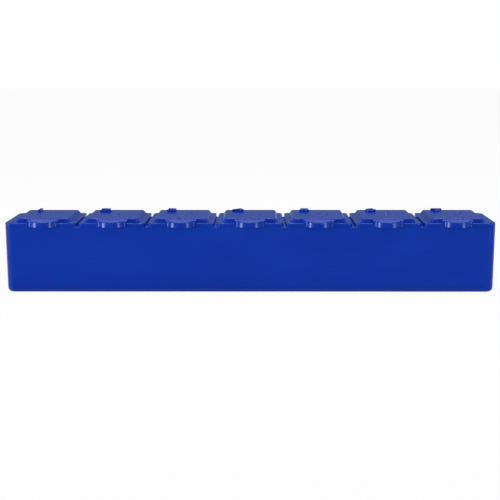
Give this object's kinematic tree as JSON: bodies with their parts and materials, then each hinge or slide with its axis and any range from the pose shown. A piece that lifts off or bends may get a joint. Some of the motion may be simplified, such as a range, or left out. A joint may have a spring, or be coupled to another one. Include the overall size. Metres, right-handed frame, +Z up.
{
  "type": "weekly pill box",
  "caption": "Long shallow pill organiser: a moulded tray of equal compartments in a row, each closed by its own raised lid with a thumb tab, hinged on a steel pin at the rear.",
  "frame": {"origin": "centre of the tray's flat base, midway along the row and midway between the front and rear walls", "axes": "+X along the row to the right as seen from the front, +Y from the thumb tabs to the hinges, +Z up"},
  "size_m": [0.217, 0.0434, 0.033],
  "materials": {
    "tray_plastic": "glossy moulded polypropylene, deep blue",
    "lid_plastic": "glossy moulded polypropylene, deep blue",
    "pin_steel": "drawn stainless wire"
  },
  "bodies": {
    "tray": {"tray": "tray_plastic", "hinge_pin_1": "pin_steel", "hinge_pin_2": "pin_steel", "hinge_pin_3": "pin_steel", "hinge_pin_4": "pin_steel", "hinge_pin_5": "pin_steel", "hinge_pin_6": "pin_steel", "hinge_pin_7": "pin_steel"},
    "lid_1": {"lid_1": "lid_plastic"},
    "lid_2": {"lid_2": "lid_plastic"},
    "lid_3": {"lid_3": "lid_plastic"},
    "lid_4": {"lid_4": "lid_plastic"},
    "lid_5": {"lid_5": "lid_plastic"},
    "lid_6": {"lid_6": "lid_plastic"},
    "lid_7": {"lid_7": "lid_plastic"}
  },
  "joints": [
    {"name": "lid_1_hinge", "type": "hinge", "parent": "tray", "child": "lid_1", "pos_m": [-0.0915, 0.0201, 0.029], "axis": [-1, 0, 0], "range_deg": [0, 115]},
    {"name": "lid_2_hinge", "type": "hinge", "parent": "tray", "child": "lid_2", "pos_m": [-0.061, 0.0201, 0.029], "axis": [-1, 0, 0], "range_deg": [0, 115]},
    {"name": "lid_3_hinge", "type": "hinge", "parent": "tray", "child": "lid_3", "pos_m": [-0.0305, 0.0201, 0.029], "axis": [-1, 0, 0], "range_deg": [0, 115]},
    {"name": "lid_4_hinge", "type": "hinge", "parent": "tray", "child": "lid_4", "pos_m": [0, 0.0201, 0.029], "axis": [-1, 0, 0], "range_deg": [0, 115]},
    {"name": "lid_5_hinge", "type": "hinge", "parent": "tray", "child": "lid_5", "pos_m": [0.0305, 0.0201, 0.029], "axis": [-1, 0, 0], "range_deg": [0, 115]},
    {"name": "lid_6_hinge", "type": "hinge", "parent": "tray", "child": "lid_6", "pos_m": [0.061, 0.0201, 0.029], "axis": [-1, 0, 0], "range_deg": [0, 115]},
    {"name": "lid_7_hinge", "type": "hinge", "parent": "tray", "child": "lid_7", "pos_m": [0.0915, 0.0201, 0.029], "axis": [-1, 0, 0], "range_deg": [0, 115]}
  ]
}
